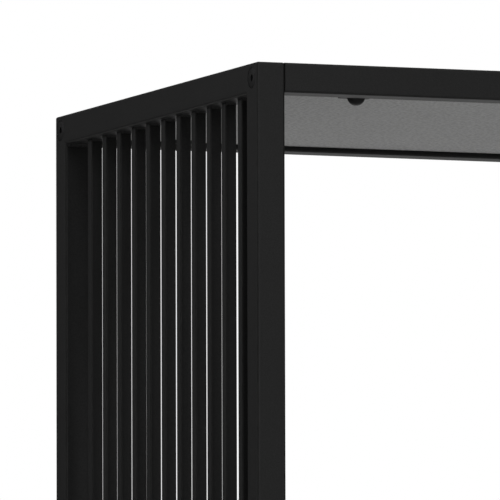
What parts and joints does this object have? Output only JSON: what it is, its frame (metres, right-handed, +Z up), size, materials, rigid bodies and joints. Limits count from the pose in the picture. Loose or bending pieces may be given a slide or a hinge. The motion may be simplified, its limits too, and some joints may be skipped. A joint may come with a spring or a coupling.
{
  "type": "firewood log rack",
  "caption": "Tall open rack for firewood: square-tube frame, end grilles of upright bars, flat roof, barred floor and screw feet.",
  "frame": {"origin": "on the ground under the middle of the rack", "axes": "+X to the right seen from the front, +Y to the back, +Z up"},
  "size_m": [1, 0.48, 2],
  "materials": {
    "frame_powder_coat": "black fine-texture powder coat on steel, satin to matt",
    "roof_sheet": "grey coil-coated steel sheet with a fine grain, satin",
    "black_steel_fastener": "black zinc-plated steel, semi-gloss",
    "zinc_plated_steel": "bright zinc plate, dulled",
    "foot_plastic": "black moulded polyamide, fine moulded grain"
  },
  "bodies": {
    "rack": {"left_front_post": "frame_powder_coat", "left_rear_post": "frame_powder_coat", "left_top_member": "frame_powder_coat", "left_bottom_member": "frame_powder_coat", "left_slats": "frame_powder_coat", "right_front_post": "frame_powder_coat", "right_rear_post": "frame_powder_coat", "right_top_member": "frame_powder_coat", "right_bottom_member": "frame_powder_coat", "right_slats": "frame_powder_coat", "front_top_rail": "frame_powder_coat", "rear_top_rail": "frame_powder_coat", "front_bottom_rail": "frame_powder_coat", "rear_bottom_rail": "frame_powder_coat", "left_frame_bolts": "black_steel_fastener", "left_crush_sleeves": "zinc_plated_steel", "left_rail_plugs": "zinc_plated_steel", "right_frame_bolts": "black_steel_fastener", "right_crush_sleeves": "zinc_plated_steel", "right_rail_plugs": "zinc_plated_steel", "front_roof_tabs": "frame_powder_coat", "rear_roof_tabs": "frame_powder_coat", "roof_pan": "roof_sheet", "roof_lid": "frame_powder_coat", "roof_bolts": "black_steel_fastener", "roof_nuts": "zinc_plated_steel", "floor_bearers": "frame_powder_coat", "foot_weld_nuts": "zinc_plated_steel", "foot_lock_nuts": "zinc_plated_steel"},
    "left_front_foot": {"left_front_foot_stem": "zinc_plated_steel", "left_front_foot_pad": "foot_plastic"},
    "left_rear_foot": {"left_rear_foot_stem": "zinc_plated_steel", "left_rear_foot_pad": "foot_plastic"},
    "right_front_foot": {"right_front_foot_stem": "zinc_plated_steel", "right_front_foot_pad": "foot_plastic"},
    "right_rear_foot": {"right_rear_foot_stem": "zinc_plated_steel", "right_rear_foot_pad": "foot_plastic"}
  },
  "joints": [
    {"name": "left_front_foot_screw", "type": "slide", "parent": "rack", "child": "left_front_foot", "axis": [0, 0, -1], "range_m": [0, 0.012]},
    {"name": "left_rear_foot_screw", "type": "slide", "parent": "rack", "child": "left_rear_foot", "axis": [0, 0, -1], "range_m": [0, 0.012]},
    {"name": "right_front_foot_screw", "type": "slide", "parent": "rack", "child": "right_front_foot", "axis": [0, 0, -1], "range_m": [0, 0.012]},
    {"name": "right_rear_foot_screw", "type": "slide", "parent": "rack", "child": "right_rear_foot", "axis": [0, 0, -1], "range_m": [0, 0.012]}
  ]
}
